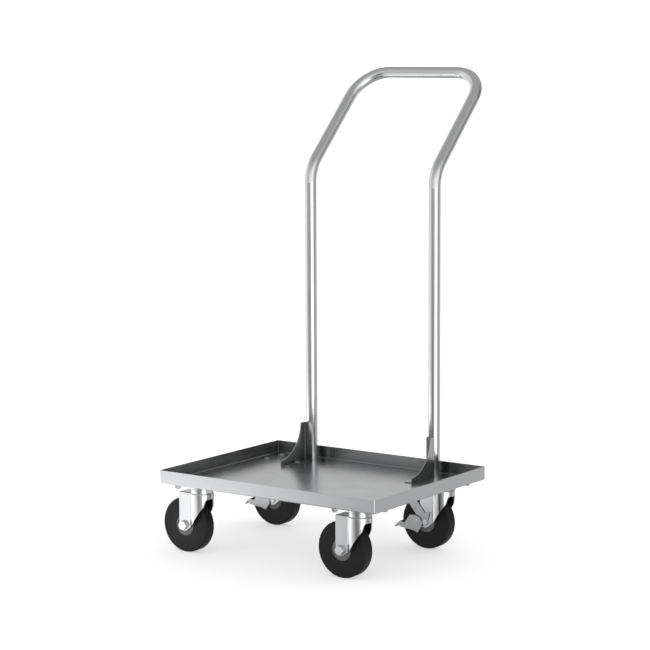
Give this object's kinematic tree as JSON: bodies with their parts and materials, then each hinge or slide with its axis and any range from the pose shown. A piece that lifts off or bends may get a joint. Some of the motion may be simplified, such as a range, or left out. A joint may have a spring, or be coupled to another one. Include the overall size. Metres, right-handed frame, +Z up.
{
  "type": "tray dolly",
  "caption": "Stainless tray dolly with raised rim, tall bent tube push handle with gussets, and swivel plate casters; the rear casters have foot brakes.",
  "frame": {"origin": "middle of the footprint, on the floor", "axes": "+X across the dolly to its right seen from the front, +Y towards the handle, +Z up"},
  "size_m": [0.622, 0.6504, 1.0784],
  "materials": {
    "stainless_sheet": "satin stainless sheet with fine grain",
    "stainless_tube": "polished stainless tube",
    "turned_steel": "turned bright steel",
    "bright_fastener": "bright stainless fasteners",
    "bearing_steel": "polished bearing balls",
    "zinc_pressing": "bright zinc plated pressing",
    "black_plastic": "moulded black plastic",
    "grey_plastic": "moulded grey plastic",
    "black_rubber": "black rubber",
    "brake_rubber": "moulded rubber"
  },
  "bodies": {
    "root": {"tray_pan": "stainless_sheet", "handle_tube": "stainless_tube", "leg_plugs": "turned_steel", "gusset_left": "stainless_sheet", "gusset_right": "stainless_sheet", "caster_bolts": "bright_fastener", "leg_bolts": "bright_fastener", "caster_washers": "bright_fastener", "caster_nuts": "bright_fastener", "kingpins": "turned_steel", "front_left_top_plate": "zinc_pressing", "front_left_lower_race": "turned_steel", "front_right_top_plate": "zinc_pressing", "front_right_lower_race": "turned_steel", "rear_left_top_plate": "zinc_pressing", "rear_left_lower_race": "turned_steel", "rear_right_top_plate": "zinc_pressing", "rear_right_lower_race": "turned_steel"},
    "front_left_swivel": {"front_left_fork": "zinc_pressing", "front_left_head_balls": "bearing_steel", "front_left_axle_sleeve": "turned_steel", "front_left_axle_bolt": "bright_fastener", "front_left_axle_nut": "bright_fastener"},
    "front_left_wheel": {"front_left_wheel_centre": "black_plastic", "front_left_tyre": "black_rubber", "front_left_thread_guards": "grey_plastic"},
    "front_right_swivel": {"front_right_fork": "zinc_pressing", "front_right_head_balls": "bearing_steel", "front_right_axle_sleeve": "turned_steel", "front_right_axle_bolt": "bright_fastener", "front_right_axle_nut": "bright_fastener"},
    "front_right_wheel": {"front_right_wheel_centre": "black_plastic", "front_right_tyre": "black_rubber", "front_right_thread_guards": "grey_plastic"},
    "rear_left_swivel": {"rear_left_fork": "zinc_pressing", "rear_left_head_balls": "bearing_steel", "rear_left_axle_sleeve": "turned_steel", "rear_left_axle_rivet": "turned_steel", "rear_left_brake_frame": "zinc_pressing", "rear_left_brake_pivots": "turned_steel", "rear_left_brake_spring_washers": "turned_steel"},
    "rear_left_wheel": {"rear_left_wheel_centre": "black_plastic", "rear_left_tyre": "black_rubber", "rear_left_thread_guards": "grey_plastic"},
    "rear_left_pedal": {"rear_left_brake_pedal": "zinc_pressing", "rear_left_brake_shoe": "brake_rubber"},
    "rear_right_swivel": {"rear_right_fork": "zinc_pressing", "rear_right_head_balls": "bearing_steel", "rear_right_axle_sleeve": "turned_steel", "rear_right_axle_rivet": "turned_steel", "rear_right_brake_frame": "zinc_pressing", "rear_right_brake_pivots": "turned_steel", "rear_right_brake_spring_washers": "turned_steel"},
    "rear_right_wheel": {"rear_right_wheel_centre": "black_plastic", "rear_right_tyre": "black_rubber", "rear_right_thread_guards": "grey_plastic"},
    "rear_right_pedal": {"rear_right_brake_pedal": "zinc_pressing", "rear_right_brake_shoe": "brake_rubber"}
  },
  "joints": [
    {"name": "front_left_swivel_turn", "type": "hinge", "parent": "root", "child": "front_left_swivel", "pos_m": [-0.19351, -0.26822, 0.1483], "axis": [0, 0, 1], "continuous": true},
    {"name": "front_left_wheel_spin", "type": "hinge", "parent": "front_left_swivel", "child": "front_left_wheel", "pos_m": [-0.2315, -0.26822, 0.0625], "axis": [0, 1, 0], "continuous": true},
    {"name": "front_right_swivel_turn", "type": "hinge", "parent": "root", "child": "front_right_swivel", "pos_m": [0.2355, -0.26822, 0.1483], "axis": [0, 0, 1], "continuous": true},
    {"name": "front_right_wheel_spin", "type": "hinge", "parent": "front_right_swivel", "child": "front_right_wheel", "pos_m": [0.1975, -0.26822, 0.0625], "axis": [0, 1, 0], "continuous": true},
    {"name": "rear_left_swivel_turn", "type": "hinge", "parent": "root", "child": "rear_left_swivel", "pos_m": [-0.19351, 0.06277, 0.1483], "axis": [0, 0, 1], "continuous": true},
    {"name": "rear_left_wheel_spin", "type": "hinge", "parent": "rear_left_swivel", "child": "rear_left_wheel", "pos_m": [-0.2315, 0.06277, 0.0625], "axis": [0, 1, 0], "continuous": true},
    {"name": "rear_left_pedal_press", "type": "hinge", "parent": "rear_left_swivel", "child": "rear_left_pedal", "pos_m": [-0.2515, 0.06277, 0.0655], "axis": [0, -1, 0], "range_deg": [0, 12]},
    {"name": "rear_right_swivel_turn", "type": "hinge", "parent": "root", "child": "rear_right_swivel", "pos_m": [0.2355, 0.06277, 0.1483], "axis": [0, 0, 1], "continuous": true},
    {"name": "rear_right_wheel_spin", "type": "hinge", "parent": "rear_right_swivel", "child": "rear_right_wheel", "pos_m": [0.1975, 0.06277, 0.0625], "axis": [0, 1, 0], "continuous": true},
    {"name": "rear_right_pedal_press", "type": "hinge", "parent": "rear_right_swivel", "child": "rear_right_pedal", "pos_m": [0.1775, 0.06277, 0.0655], "axis": [0, -1, 0], "range_deg": [0, 12]}
  ]
}
